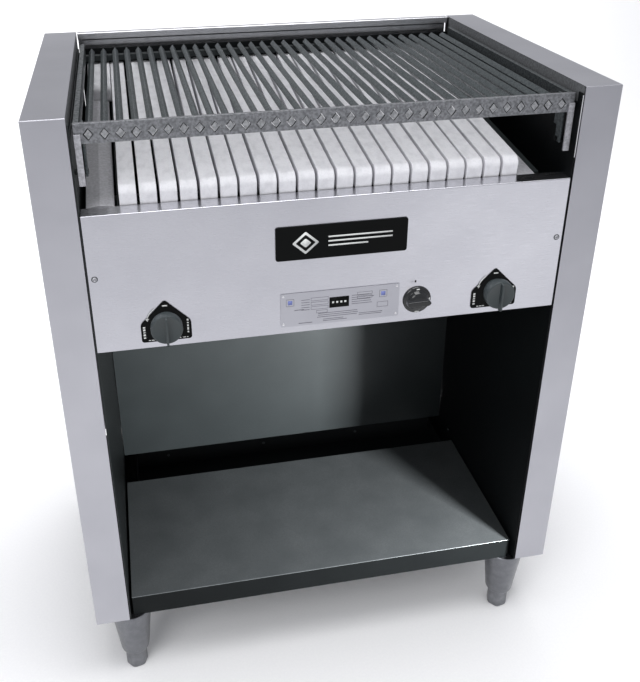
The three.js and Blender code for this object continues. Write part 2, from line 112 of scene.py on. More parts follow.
# ---- finishes ----
class Finish:
    """A procedural material: a Principled shader and the textures that feed it, in object space."""

    def __init__(self, name, color, metallic=0.0, roughness=0.5, specular=0.5):
        self.material = bpy.data.materials.new(name)
        self.material.use_nodes = True
        self.tree = self.material.node_tree
        self.shader = self.tree.nodes["Principled BSDF"]
        self.shader.inputs["Base Color"].default_value = (*color, 1)
        self.shader.inputs["Metallic"].default_value = metallic
        self.shader.inputs["Roughness"].default_value = roughness
        self.shader.inputs["Specular IOR Level"].default_value = specular
        self.space = self.tree.nodes.new("ShaderNodeTexCoord").outputs["Object"]

    def noise(self, size, stretch=(1, 1, 1), detail=2.0):
        """Noise whose features are about size metres across, drawn out along an axis by stretch."""
        mapping = self.tree.nodes.new("ShaderNodeMapping")
        mapping.inputs["Scale"].default_value = [1 / (size * s) for s in stretch]
        self.tree.links.new(self.space, mapping.inputs["Vector"])
        texture = self.tree.nodes.new("ShaderNodeTexNoise")
        texture.inputs["Scale"].default_value = 1.0
        texture.inputs["Detail"].default_value = detail
        self.tree.links.new(mapping.outputs["Vector"], texture.inputs["Vector"])
        return texture.outputs["Fac"]

    def ranged(self, value, low, high, start=0.3, end=0.7):
        """Turns a noise value between start and end into a number between low and high."""
        node = self.tree.nodes.new("ShaderNodeMapRange")
        node.inputs["From Min"].default_value = start
        node.inputs["From Max"].default_value = end
        node.inputs["To Min"].default_value = low
        node.inputs["To Max"].default_value = high
        self.tree.links.new(value, node.inputs["Value"])
        return node.outputs["Result"]

    def blended(self, factor, first, second):
        """A colour between two, which may be plain colours or node outputs."""
        node = self.tree.nodes.new("ShaderNodeMix")
        node.data_type = "RGBA"
        self.tree.links.new(factor, node.inputs["Factor"])
        # a Mix node has sockets A, B and Result once for each data type: these are the colour ones
        a, b, result = node.inputs[6], node.inputs[7], node.outputs[2]
        for socket, color in ((a, first), (b, second)):
            if isinstance(color, bpy.types.NodeSocket):
                self.tree.links.new(color, socket)
            else:
                socket.default_value = (*color, 1)
        return result

    def color(self, output):
        self.tree.links.new(output, self.shader.inputs["Base Color"])

    def roughness(self, output):
        self.tree.links.new(output, self.shader.inputs["Roughness"])

    def bump(self, height, distance, strength=1.0):
        node = self.tree.nodes.new("ShaderNodeBump")
        node.inputs["Strength"].default_value = strength
        node.inputs["Distance"].default_value = distance
        self.tree.links.new(height, node.inputs["Height"])
        self.tree.links.new(node.outputs["Normal"], self.shader.inputs["Normal"])
        return self


def brushed(name, dark, light, grain, roughness):
    """Brushed stainless sheet: long fine streaks along one axis over a slow change of tone."""
    made = Finish(name, light, metallic=1.0, roughness=roughness)
    streak = made.noise(0.5 * MM, grain, detail=3)
    cloud = made.noise(90 * MM)
    made.color(made.blended(made.ranged(cloud, 0.0, 1.0), dark, light))
    made.roughness(made.ranged(streak, roughness - 0.06, roughness + 0.08))
    return made.bump(streak, 0.02 * MM, 0.25).material


def mottled(name, dark, light, roughness, metallic=0.9):
    """Mill-finish bar stock: blotches of scale and bare metal, with fine pits."""
    made = Finish(name, light, metallic=metallic, roughness=roughness)
    blotch = made.noise(3.5 * MM, detail=4)
    pits = made.noise(1.2 * MM)
    tone = made.blended(made.ranged(blotch, 0.0, 1.0, 0.38, 0.62), dark, light)
    made.color(made.blended(made.ranged(pits, 0.0, 0.35, 0.45, 0.7), tone, dark))
    made.roughness(made.ranged(blotch, roughness + 0.12, roughness - 0.08))
    return made.bump(pits, 0.06 * MM, 0.4).material


def satin(name, dark, light, roughness, metallic=0.0, specular=0.5):
    """Satin sheet with a fine even speckle."""
    made = Finish(name, light, metallic=metallic, roughness=roughness, specular=specular)
    speck = made.noise(1.3 * MM)
    cloud = made.noise(60 * MM, detail=3)
    tone = made.blended(made.ranged(cloud, 0.0, 0.6), light, dark)
    made.color(made.blended(made.ranged(speck, 0.0, 0.7, 0.35, 0.65), tone, dark))
    made.roughness(made.ranged(speck, roughness - 0.05, roughness + 0.07))
    return made.bump(speck, 0.05 * MM, 0.35).material


def moulded(name, color, roughness, specular=0.5):
    """Moulded or printed plastic with a very fine grain."""
    made = Finish(name, color, roughness=roughness, specular=specular)
    grain = made.noise(0.8 * MM)
    lighter = [c * 1.25 for c in color]
    made.color(made.blended(made.ranged(grain, 0.0, 1.0), color, lighter))
    made.roughness(made.ranged(grain, roughness - 0.04, roughness + 0.05))
    return made.bump(grain, 0.03 * MM, 0.3).material


def cast(name, dark, light, roughness, metallic, pit_size, pit_depth):
    """Cast or pressed surface: soft blotches and a sandy skin."""
    made = Finish(name, light, metallic=metallic, roughness=roughness)
    cloud = made.noise(12 * MM, detail=4)
    sand = made.noise(pit_size, detail=3)
    made.color(made.blended(made.ranged(cloud, 0.0, 1.0), dark, light))
    made.roughness(made.ranged(sand, roughness - 0.06, roughness + 0.08))
    return made.bump(sand, pit_depth, 0.6).material


def ceramic():
    """Matt white pressed ceramic with faint grey smudges and a pitted skin."""
    made = Finish("ceramic", (0.8, 0.8, 0.82), roughness=0.85, specular=0.25)
    smudge = made.noise(14 * MM, (0.8, 1.3, 1), detail=4)
    fine = made.noise(2.2 * MM, detail=3)
    smudged = made.ranged(smudge, 0.0, 1.0, 0.45, 0.75)
    tone = made.blended(smudged, (0.74, 0.74, 0.77), (0.62, 0.62, 0.65))
    made.color(made.blended(made.ranged(fine, 0.0, 0.3, 0.5, 0.7), tone, (0.55, 0.55, 0.58)))
    return made.bump(fine, 0.15 * MM, 0.4).material


COLUMN_STEEL = brushed("column_steel", (0.44, 0.44, 0.475), (0.48, 0.48, 0.515), (1, 1, 60), 0.34)
PANEL_STEEL = brushed("panel_steel", (0.50, 0.50, 0.54), (0.54, 0.54, 0.58), (60, 1, 1), 0.3)
# much lighter copy of the cabinet stainless for the outer back sheet and rail: painted sheen, for the
# bright reflections the rail shows
RAIL_SHEEN_STEEL = brushed("rail_sheen_steel", (0.64, 0.64, 0.67), (0.68, 0.68, 0.71), (60, 1, 1), 0.3)
# lighter, glossier copy of the panel steel for the panel's top flange: painted sheen, for the bright
# bars it reflects
FLANGE_SHEEN_STEEL = brushed("flange_sheen_steel", (0.68, 0.68, 0.71), (0.72, 0.72, 0.75), (60, 1, 1), 0.2)
# darker, duller copy of the column steel for the caps' turned-down inner edges: painted shade
DROP_SHADE_STEEL = mottled("drop_shade_steel", (0.12, 0.125, 0.13), (0.18, 0.185, 0.195), 0.5, metallic=0.4)
# bright steel for the plate rivets, and for the painted highlight line on the right liner's edge
HIGHLIGHT_AND_RIVET_STEEL = brushed("highlight_and_rivet_steel", (0.70, 0.70, 0.72), (0.78, 0.78, 0.80), (1, 1, 40), 0.35)
COVER_STEEL = mottled("cover_steel", (0.40, 0.40, 0.42), (0.48, 0.48, 0.51), 0.5, metallic=0.4)
STRAP_STEEL = mottled("strap_steel", (0.36, 0.36, 0.38), (0.50, 0.50, 0.53), 0.45)
MILL_STEEL = mottled("mill_steel", (0.16, 0.165, 0.175), (0.28, 0.285, 0.30), 0.4)
ROD_END_STEEL = mottled("rod_end_steel", (0.26, 0.265, 0.275), (0.42, 0.425, 0.44), 0.42)
ROD_STEEL = mottled("rod_steel", (0.035, 0.043, 0.046), (0.075, 0.088, 0.092), 0.34, metallic=0.6)
SIDE_BAR_STEEL = mottled("side_bar_steel", (0.07, 0.08, 0.085), (0.16, 0.17, 0.175), 0.42)
CERAMIC = ceramic()
SHELF_STEEL = satin("shelf_steel", (0.045, 0.051, 0.054), (0.082, 0.089, 0.093), 0.4, metallic=0.5)
BACK_STEEL = satin("back_steel", (0.011, 0.0145, 0.0155), (0.019, 0.0235, 0.025), 0.45, metallic=0.3)
# near-black for the shelf's turned-down lips, the same sheet as its top: painted shade
LIP_SHADE_BLACK = satin("lip_shade_black", (0.0015, 0.002, 0.0022), (0.003, 0.0037, 0.004), 0.5, specular=0.08)
# near-black; on the right inner liner it is painted shade
LINER_BLACK_AND_SHADE = satin("liner_black_and_shade", (0.0015, 0.002, 0.0025), (0.003, 0.004, 0.0045), 0.5, specular=0.15)
FIREBOX_BLACK = satin("firebox_black", (0.008, 0.011, 0.012), (0.02, 0.025, 0.026), 0.5, specular=0.3)
KNOB_BLACK = moulded("knob_black", (0.028, 0.036, 0.038), 0.42)
GLOSS_BLACK = moulded("gloss_black", (0.008, 0.009, 0.01), 0.14)
PLATE_BLACK = moulded("plate_black", (0.002, 0.0023, 0.0023), 0.45, specular=0.08)
PRINT_WHITE = moulded("print_white", (0.60, 0.61, 0.60), 0.5, specular=0.2)
PRINT_GREY = moulded("print_grey", (0.13, 0.13, 0.15), 0.5, specular=0.2)
PRINT_BLUE = moulded("print_blue", (0.16, 0.19, 0.42), 0.5, specular=0.2)
PLATE_SILVER = brushed("plate_silver", (0.44, 0.44, 0.48), (0.48, 0.48, 0.52), (60, 1, 1), 0.4)
LEG_METAL = cast("leg_metal", (0.17, 0.175, 0.19), (0.21, 0.215, 0.23), 0.3, 1.0, 1.2 * MM, 0.03 * MM)
FOOT_METAL = cast("foot_metal", (0.18, 0.185, 0.20), (0.27, 0.275, 0.29), 0.42, 0.9, 1.5 * MM, 0.1 * MM)
CAST_IRON = cast("cast_iron", (0.02, 0.02, 0.021), (0.05, 0.05, 0.052), 0.75, 0.4, 1.5 * MM, 0.3 * MM)
PIPE_BLACK = cast("pipe_black", (0.015, 0.015, 0.016), (0.035, 0.035, 0.037), 0.5, 0.3, 2 * MM, 0.1 * MM)
BRASS = cast("brass", (0.42, 0.30, 0.12), (0.58, 0.43, 0.19), 0.35, 1.0, 1 * MM, 0.03 * MM)


# ---- mesh helpers ----
def add_piece(name, bm, body, finish, stands_for=()):
    """Makes a piece of the object from a bmesh, and gives it its body and finish."""
    mesh = bpy.data.meshes.new(name)
    bm.to_mesh(mesh)
    bm.free()
    mesh.polygons.foreach_set("use_smooth", [True] * len(mesh.polygons))
    mesh.materials.append(finish)
    piece = bpy.data.objects.new(name, mesh)
    bpy.context.scene.collection.objects.link(piece)
    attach(piece, body)
    if stands_for:
        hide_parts(*stands_for)
    return piece


def soften(piece, width, segments=2, angle=35):
    """Rounds the sharp edges and keeps flat faces flat-shaded."""
    bevel = piece.modifiers.new("edges", "BEVEL")
    bevel.width = width
    bevel.segments = segments
    bevel.limit_method = "ANGLE"
    bevel.angle_limit = math.radians(angle)
    piece.modifiers.new("normals", "WEIGHTED_NORMAL").keep_sharp = True
    return piece


def sheet_metal(
    name, points, faces, folds, body, finish, stands_for=(), radius=FOLD, thickness=SHEET
):
    """Faces joined at rounded folds, with the sheet's thickness on the side away from the normals."""
    bm = bmesh.new()
    corners = [bm.verts.new(p) for p in points]
    for face in faces:
        bm.faces.new([corners[i] for i in face])
    edges = [bm.edges.get((corners[a], corners[b])) for a, b in folds]
    bmesh.ops.bevel(bm, geom=edges, offset=radius, segments=4, profile=0.5, affect="EDGES")
    for axis in range(3):
        least, most = (pick(p[axis] for p in points) for pick in (min, max))
        for corner in bm.verts:
            corner.co[axis] = min(max(corner.co[axis], least), most)
    piece = add_piece(name, bm, body, finish, stands_for)
    thicken = piece.modifiers.new("thickness", "SOLIDIFY")
    thicken.thickness = thickness
    thicken.offset = -1
    thicken.use_even_offset = True
    return soften(piece, 0.25 * MM, angle=50)


def refinish(piece, finish, chosen):
    """Gives the faces that chosen(face) picks a second finish."""
    piece.data.materials.append(finish)
    for face in piece.data.polygons:
        if chosen(face):
            face.material_index = 1


def pierce(piece, x, z, radius, segments=24):
    """Cuts a round hole through the largest face of a sheet that looks to +Y."""
    bm = bmesh.new()
    bm.from_mesh(piece.data)
    rear = [face for face in bm.faces if face.normal.y > 0.9]
    wall = max(rear, key=lambda face: face.calc_area())
    y = wall.verts[0].co.y
    low_left, low_right, high_right, high_left = sorted(
        wall.verts, key=lambda corner: math.atan2(corner.co.z - z, corner.co.x - x)
    )
    angles = [2 * math.pi * i / segments for i in range(segments)]
    ring = [bm.verts.new((x + radius * math.cos(a), y, z + radius * math.sin(a))) for a in angles]
    half = segments // 2
    bm.faces.remove(wall)
    bm.faces.new([low_right, low_left, *ring[half:], ring[0]])
    bm.faces.new([low_left, high_left, high_right, low_right, *ring[: half + 1]])
    bm.to_mesh(piece.data)
    bm.free()
    piece.data.polygons.foreach_set("use_smooth", [True] * len(piece.data.polygons))


def bent_strip(name, outline, x0, x1, body, finish, stands_for=(), radius=FOLD):
    """A sheet folded along X. The outline's (y, z) points run with the outer side on their left."""
    count = len(outline)
    points = [Vector((x, y, z)) for x in (x0, x1) for y, z in outline]
    faces = [(i, i + 1, i + 1 + count, i + count) for i in range(count - 1)]
    folds = [(i, i + count) for i in range(1, count - 1)]
    return sheet_metal(name, points, faces, folds, body, finish, stands_for, radius)


def rounded(corners, radius, steps):
    """The outline with each corner turned into a curve that starts radius away from it."""
    outline = []
    for i, corner in enumerate(corners):
        here = Vector(corner)
        before = (Vector(corners[i - 1]) - here).normalized() * radius
        after = (Vector(corners[(i + 1) % len(corners)]) - here).normalized() * radius
        for step in range(steps + 1):
            u = step / steps
            outline.append(here + before * (1 - u) ** 2 + after * u**2)
    return outline


PLANES = {
    "xz": lambda a, b, h: Vector((a, h, b)),
    "yz": lambda a, b, h: Vector((h, a, b)),
    "xy": lambda a, b, h: Vector((a, b, h)),
}


def add_prism(bm, outline, start, end, plane, place=None):
    """Adds a closed prism to bm: an outline in a plane, drawn out across it from start to end."""
    place = place or Matrix.Identity(4)
    rings = [[bm.verts.new(place @ PLANES[plane](a, b, h)) for a, b in outline] for h in (start, end)]
    count = len(outline)
    made = [bm.faces.new(rings[0]), bm.faces.new(list(reversed(rings[1])))]
    for i in range(count):
        j = (i + 1) % count
        made.append(bm.faces.new((rings[0][i], rings[1][i], rings[1][j], rings[0][j])))
    bmesh.ops.recalc_face_normals(bm, faces=made)


def prism(
    name, outline, start, end, plane, body, slot, finish, stands_for=(), edge=0.4 * MM, place=None,
    segments=2,
):
    """A piece made of one prism with softened edges."""
    bm = bmesh.new()
    add_prism(bm, outline, start, end, plane, place)
    soften(add_piece(name, bm, body, finish, stands_for), edge, segments)


def rectangle(a0, a1, b0, b1):
    """The four corners of a rectangle, as an outline."""
    return [(a0, b0), (a1, b0), (a1, b1), (a0, b1)]


def threaded(radius, depth, pitch, turns, start=0.0):
    """The (radius, height) points of a thread, drawn as one ridge for each turn."""
    points = []
    for turn in range(turns):
        height = start + turn * pitch
        points += [(radius, height), (radius - depth, height + pitch / 2)]
    return points


TO_FRONT = Matrix.Rotation(math.radians(90), 4, "X")


def turned(name, profile, place, body, finish, stands_for=(), segments=48, sharp=30):
    """A solid of revolution from (radius, height) points that start and end on the axis."""
    bm = bmesh.new()
    rings = []
    for radius, height in profile:
        count = 1 if radius == 0 else segments
        angles = [2 * math.pi * i / count for i in range(count)]
        around = [Vector((radius * math.cos(a), radius * math.sin(a), height)) for a in angles]
        rings.append([bm.verts.new(place @ point) for point in around])
    for lower, upper in zip(rings, rings[1:]):
        for i in range(segments):
            j = (i + 1) % segments
            quad = ((lower, i), (lower, j), (upper, j), (upper, i))
            corners = [ring[k % len(ring)] for ring, k in quad]
            bm.faces.new(list(dict.fromkeys(corners)))
    bmesh.ops.recalc_face_normals(bm, faces=bm.faces[:])
    piece = add_piece(name, bm, body, finish, stands_for)
    piece.data.set_sharp_from_angle(angle=math.radians(sharp))


def marks(name, rectangles, front, body, finish, thickness=PRINT_THICKNESS):
    """Printed marks: thin strips, each an (x0, x1, z0, z1) rectangle on a face that looks to -Y."""
    bm = bmesh.new()
    for x0, x1, z0, z1 in rectangles:
        add_prism(bm, rectangle(x0, x1, z0, z1), front - thickness, front, "xz")
    add_piece(name, bm, body, finish)


def dial_marks(x, strokes):
    """Rectangles for marks round a knob, from (x, z, wide, tall) in millimetres off its centre."""
    rectangles = []
    for across, up, wide, tall in strokes:
        x0, z0 = x + (across - wide / 2) * MM, CONTROL_Z + (up - tall / 2) * MM
        rectangles.append((x0, x0 + wide * MM, z0, z0 + tall * MM))
    return rectangles


def screw(name, centre, facing, radius, body, finish=STRAP_STEEL):
    """A pan-head screw whose head stands on centre and faces along facing, with a cross recess."""
    place = Matrix.Translation(centre) @ Vector(facing).to_track_quat("Z", "Y").to_matrix().to_4x4()
    height = radius * 0.55
    rings = [(1.0, 0.0), (0.97, 0.45), (0.85, 0.78), (0.66, 0.94), (0.46, 1.0), (0.2, 1.0)]
    bm = bmesh.new()
    segments = 24
    made = []
    for share, level in rings:
        ring = []
        for i in range(segments):
            angle = 2 * math.pi * i / segments
            in_recess = share < 0.6 and i % 6 in (0, 1, 5)
            z = height * (level - (0.5 if in_recess else 0))
            point = Vector((radius * share * math.cos(angle), radius * share * math.sin(angle), z))
            ring.append(bm.verts.new(place @ point))
        made.append(ring)
    for lower, upper in zip(made, made[1:]):
        for i in range(segments):
            j = (i + 1) % segments
            bm.faces.new((lower[i], lower[j], upper[j], upper[i]))
    bm.faces.new(made[-1])
    bm.faces.new(list(reversed(made[0])))
    add_piece(name, bm, body, finish).data.set_sharp_from_angle(angle=math.radians(40))


def side_name(side):
    return "left" if side < 0 else "right"


# ---- body sheets ----
def column(side):
    """Column front, cap, outer wall, rear flange and the cap's turned-down inner edge."""
    name = side_name(side)
    low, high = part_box(name + "_side_panel")
    inner, outer = (high.x, low.x) if side < 0 else (low.x, high.x)
    bottom, top = low.z, TOP - 0.06 * MM
    near, far = FRONT + 4 * MM, BACK - 18 * MM
    points = [
        (inner, FRONT, bottom), (outer, FRONT, bottom), (outer, FRONT, top), (inner, FRONT, top),
        (outer, BACK, bottom), (outer, BACK, top), (inner, BACK, top), (inner, BACK, bottom),
        (inner, near, top), (inner, far, top),
        (inner, near, top - CAP_DROP), (inner, far, top - CAP_DROP),
    ]
    faces = [(0, 1, 2, 3), (1, 4, 5, 2), (4, 7, 6, 5), (3, 2, 5, 6, 9, 8), (8, 9, 11, 10)]
    if side < 0:
        faces = [tuple(reversed(face)) for face in faces]
    folds = [(1, 2), (2, 3), (2, 5), (4, 5), (5, 6), (8, 9)]
    piece = sheet_metal(
        name + "_column", points, faces, folds, "cabinet", COLUMN_STEEL,
        [name + "_side_panel"],
    )
    # the turned-down inner edge is the same steel as the cap; its darker, duller finish is painted shade
    refinish(piece, DROP_SHADE_STEEL, lambda face: face.normal.x * side < -0.9)


def liner_edge():
    """Cut edge of the right inner liner, seen above the control panel, as a thin bright strip: a painted
    highlight line.
    """
    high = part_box("right_inner_liner")[1]
    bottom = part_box("control_panel")[1].z + 30 * MM
    outline = rectangle(high.x - 1.3 * MM, high.x, bottom, TOP - 12 * MM)
    front = FRONT + 1.0 * MM
    prism(
        "right_liner_edge_highlight", outline, front, front + 0.7 * MM, "xz", "cabinet", "stainless", HIGHLIGHT_AND_RIVET_STEEL,
        edge=0.1 * MM,
    )


def rear_rail():
    """Outer back sheet with its top folded forward, and the lower band set in from the ends."""
    low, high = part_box("outer_back_panel")
    rail_front = BACK - RAIL_DEPTH
    outline = [(BACK, low.z), (BACK, TOP), (rail_front, TOP), (rail_front, TOP - 11 * MM)]
    # both rear sheets get the lighter rail finish: painted sheen
    sheet = bent_strip(
        "outer_back_sheet", outline, low.x, high.x, "cabinet", RAIL_SHEEN_STEEL,
        ["outer_back_panel"],
    )
    pierce(sheet, INLET_X, MANIFOLD_Z, INLET_HOLE_RADIUS)
    band = [(rail_front + y * MM, TOP - z * MM) for y, z in ((0.4, 10.8), (3, 13), (3, 22))]
    inset = 6.5 * MM
    bent_strip(
        "rear_rail_band", band, low.x + inset, high.x - inset, "cabinet", RAIL_SHEEN_STEEL,
        radius=0.5 * MM,
    )


def gas_inlet():
    """Threaded end of the supply pipe in the hole of the back sheet."""
    bore = INLET_THREAD_RADIUS - 4 * MM
    thread = threaded(INLET_THREAD_RADIUS, 1.1 * MM, 1.8 * MM, 6)
    length = thread[-1][1]
    bore_end = length - 8 * MM
    profile = [(0, 0)] + thread + [(bore, length), (bore, bore_end), (0, bore_end)]
    place = Matrix.Translation((INLET_X, BACK - length - 0.3 * MM, MANIFOLD_Z))
    place @= Matrix.Rotation(math.radians(-90), 4, "X")
    turned("gas_inlet_thread", profile, place, "cabinet", PIPE_BLACK)


# ---- cooking grate ----
def rod_x(index):
    return (index - (ROD_COUNT - 1) / 2) * ROD_PITCH


def grate_front_bar():
    """Flat bar with a diamond hole for each rod, a little bigger than the rod and a little off."""
    bm = bmesh.new()
    between = [(rod_x(i) + rod_x(i + 1)) / 2 for i in range(ROD_COUNT - 1)]
    edges = [-GRATE_HALF, *between, GRATE_HALF]
    top = [bm.verts.new((x, BAR_FRONT, BAR_TOP)) for x in edges]
    bottom = [bm.verts.new((x, BAR_FRONT, BAR_BOTTOM)) for x in edges]
    for i in range(ROD_COUNT):
        play = rng.uniform(1.3, 1.8) * MM
        x = rod_x(i) + rng.uniform(-0.5, 0.5) * MM
        z = ROD_Z + rng.uniform(-0.5, 0.5) * MM
        wide, tall = ROD_HALF_WIDTH + play, ROD_HALF_HEIGHT + play
        points = ((0, tall), (wide, 0), (0, -tall), (-wide, 0))
        up, right, down, left = (bm.verts.new((x + a, BAR_FRONT, z + b)) for a, b in points)
        tl, tr, bl, br = top[i], top[i + 1], bottom[i], bottom[i + 1]
        for corners in (
            (tl, left, up), (tl, up, tr), (up, right, tr), (right, br, tr),
            (right, down, br), (down, bl, br), (left, bl, down), (tl, bl, left),
        ):
            bm.faces.new(corners)
    piece = add_piece("grate_diamond_bar", bm, "grate", MILL_STEEL, ["grate_front_bar"])
    thicken = piece.modifiers.new("thickness", "SOLIDIFY")
    thicken.thickness = BAR_DEPTH
    thicken.offset = -1
    soften(piece, 0.5 * MM, angle=40)


def grate_bracket(side):
    """Hanger strap and stepped bracket plate at one end of the front bar."""
    name = side_name(side)
    strap_x = sorted((side * (GRATE_HALF - 8.6 * MM), side * GRATE_HALF))
    low_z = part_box("grate_front_bar")[0].z
    strap = rounded(rectangle(*strap_x, low_z, TOP - 25 * MM), 0.8 * MM, 3)
    prism(
        name + "_grate_strap", strap, BAR_FRONT - 3 * MM, BAR_FRONT + 0.4 * MM, "xz", "grate",
        "mill_steel", STRAP_STEEL,
    )
    steps = ((19, 83), (25, 83), (25, 76), (32, 76), (32, 60), (40, 60), (40, 45), (40, 15), (19, 15))
    plate = [(FRONT + y * MM, TOP - z * MM) for y, z in steps]
    plate_x = sorted((side * (GRATE_HALF - 12.6 * MM), side * (GRATE_HALF - 9.6 * MM)))
    prism(name + "_grate_bracket", plate, *plate_x, "yz", "grate", "mill_steel", ROD_STEEL)


def grate_rods():
    """Square rods on edge, ground to a point at the back, on a cross-bar and between two side bars."""
    low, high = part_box("grate_rod_frame")
    tip_y = high.y
    wide, tall = ROD_HALF_WIDTH, ROD_HALF_HEIGHT
    ends = bmesh.new()
    for i in range(ROD_COUNT):
        front = BAR_FRONT + rng.uniform(0.5, 1.2) * MM
        shoulder = tip_y - rng.uniform(12, 16) * MM
        bm = bmesh.new()
        turn = math.radians(rng.uniform(-2.5, 2.5))
        cosine, sine = math.cos(turn), math.sin(turn)
        spun = [
            (rod_x(i) + a * cosine - b * sine, ROD_Z + a * sine + b * cosine)
            for a, b in ((0, tall), (wide, 0), (0, -tall), (-wide, 0))
        ]
        add_prism(ends, spun, front - 0.3 * MM, front + 0.5 * MM, "xz")
        rings = [[bm.verts.new((x, y, z)) for x, z in spun] for y in (front, shoulder)]
        tip = bm.verts.new((rod_x(i), tip_y, ROD_Z))
        bm.faces.new(rings[0])
        for a in range(4):
            b = (a + 1) % 4
            bm.faces.new((rings[0][a], rings[0][b], rings[1][b], rings[1][a]))
            bm.faces.new((rings[1][a], rings[1][b], tip))
        bmesh.ops.recalc_face_normals(bm, faces=bm.faces[:])
        soften(add_piece(f"grate_rod_{i + 1:02d}", bm, "grate", ROD_STEEL), 0.7 * MM)
    soften(add_piece("grate_rod_ends", ends, "grate", ROD_END_STEEL), 0.25 * MM)
    half = high.x
    cross = rectangle(-half, half, low.z, low.z + 10 * MM)
    prism(
        "grate_cross_bar", cross, tip_y - 19 * MM, tip_y - 9 * MM, "xz", "grate", "rod_steel",
        FIREBOX_BLACK, ["grate_rod_frame"],
    )
    for side in (-1, 1):
        bar_x = sorted((side * (half - 7 * MM), side * half))
        outline = rectangle(*bar_x, TOP - 37 * MM, TOP - 12 * MM)
        prism(
            side_name(side) + "_grate_side_bar", outline, BAR_FRONT + 6.6 * MM, tip_y - 13 * MM, "xz",
            "grate", "rod_steel", SIDE_BAR_STEEL, edge=0.6 * MM,
        )


# ---- ceramic bed ----
def bed_place():
    """The bed's own frame, with its origin on the bars' front lower edge and tilted up to the back."""
    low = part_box("radiant_bar_01")[0]
    origin = Vector((0, low.y + BED_LEAN, low.z))
    return Matrix.Translation(origin) @ Matrix.Rotation(BED_SLOPE, 4, "X")


def ceramic_bars():
    """Bars with sloped shoulders at both ends, each a little off in height and place."""
    place = bed_place()
    origin = place.translation
    full = (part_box("radiant_bar_01")[1].y - origin.y) / math.cos(BED_SLOPE)
    names = sorted(n for n in nodes if n.startswith("radiant_bar_"))
    for name in names:
        low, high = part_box(name)
        start = (low.y + BED_LEAN - origin.y) / math.cos(BED_SLOPE)
        height, edge = RADIANT_HEIGHT - rng.uniform(0, 0.8) * MM, RADIANT_EDGE
        corners = [
            (start, 0), (full, 0), (full, height - edge), (full - edge, height),
            (start + edge, height), (start, height - edge),
        ]
        outline = rounded(corners, 4.4 * MM, 6)
        shift = rng.uniform(-0.3, 0.3) * MM
        left, right = low.x + shift - 0.3 * MM, high.x + shift + 0.3 * MM
        prism(
            "ceramic_" + name.removeprefix("radiant_"), outline, left, right, "yz", "cabinet", "ceramic",
            CERAMIC, [name], edge=1.2 * MM, place=place, segments=3,
        )


def pilot_cover():
    """Folded cover beside the bed, with a narrow groove along its ridge and its front end closed."""
    place = bed_place()
    length = (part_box("pilot_baffle")[1].y - place.translation.y) / math.cos(BED_SLOPE)
    ridge = [
        (-332, 0.5), (-332, 2), (-315.2, 4.8), (-314.4, 2.6), (-313.6, 4.8), (-296, 2), (-296, 0.5),
    ]
    points = [place @ Vector((x * MM, y, z * MM)) for y in (0.0, length) for x, z in ridge]
    count = len(ridge)
    faces = [(i, i + 1, i + 1 + count, i + count) for i in range(count - 1)]
    folds = [(i, i + count) for i in (1, count - 2)]
    sheet_metal(
        "pilot_cover", points, faces, folds, "cabinet", COVER_STEEL, ["pilot_baffle"],
        radius=0.6 * MM, thickness=-0.9 * MM,
    )
    end = [(x * MM, z * MM) for x, z in [(-331.5, -4), *ridge[1:-1], (-296.5, -4)]]
    prism(
        "pilot_cover_end", end, 0, 0.9 * MM, "xz", "cabinet", "stainless", COVER_STEEL,
        edge=0.2 * MM, place=place,
    )


def firebox_trim():
    """Filler strip between the last bar and the firebox's right-hand hem."""
    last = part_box("radiant_bar_21")[1].x
    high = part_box("firebox")[1]
    place = bed_place()
    length = (high.y - place.translation.y) / math.cos(BED_SLOPE) - 4 * MM
    filler = rectangle(last + 1 * MM, high.x - 8.4 * MM, 1.5 * MM, 2.7 * MM)
    prism(
        "firebox_filler_strip", filler, -1 * MM, length, "xz", "cabinet", "dark_steel", COVER_STEEL,
        edge=0.3 * MM, place=place,
    )


# ---- control panel ----
def control_panel():
    """Front sheet folded back at its top and bottom, with a screw and washer near each end."""
    low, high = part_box("control_panel")
    outline = [(high.y, high.z), (low.y, high.z), (low.y, low.z), (low.y + 11.5 * MM, low.z)]
    piece = bent_strip(
        "control_panel_sheet", outline, low.x, high.x, "cabinet", PANEL_STEEL,
        ["control_panel"],
    )
    # the top flange is the same sheet as the panel; its lighter, glossier finish is painted sheen
    refinish(piece, FLANGE_SHEEN_STEEL, lambda face: face.normal.z > 0.9)
    washer = [(0, 0), (4.4 * MM, 0), (4.4 * MM, 0.3 * MM), (0, 0.3 * MM)]
    for side in (-1, 1):
        name = side_name(side)
        centre = (side * PANEL_SCREW_X, low.y, PANEL_SCREW_Z)
        screw(name + "_panel_screw", centre, (0, -1, 0), 3.4 * MM, "cabinet")
        turned(
            name + "_panel_washer", washer, Matrix.Translation(centre) @ TO_FRONT, "cabinet",
            KNOB_BLACK, segments=32,
        )


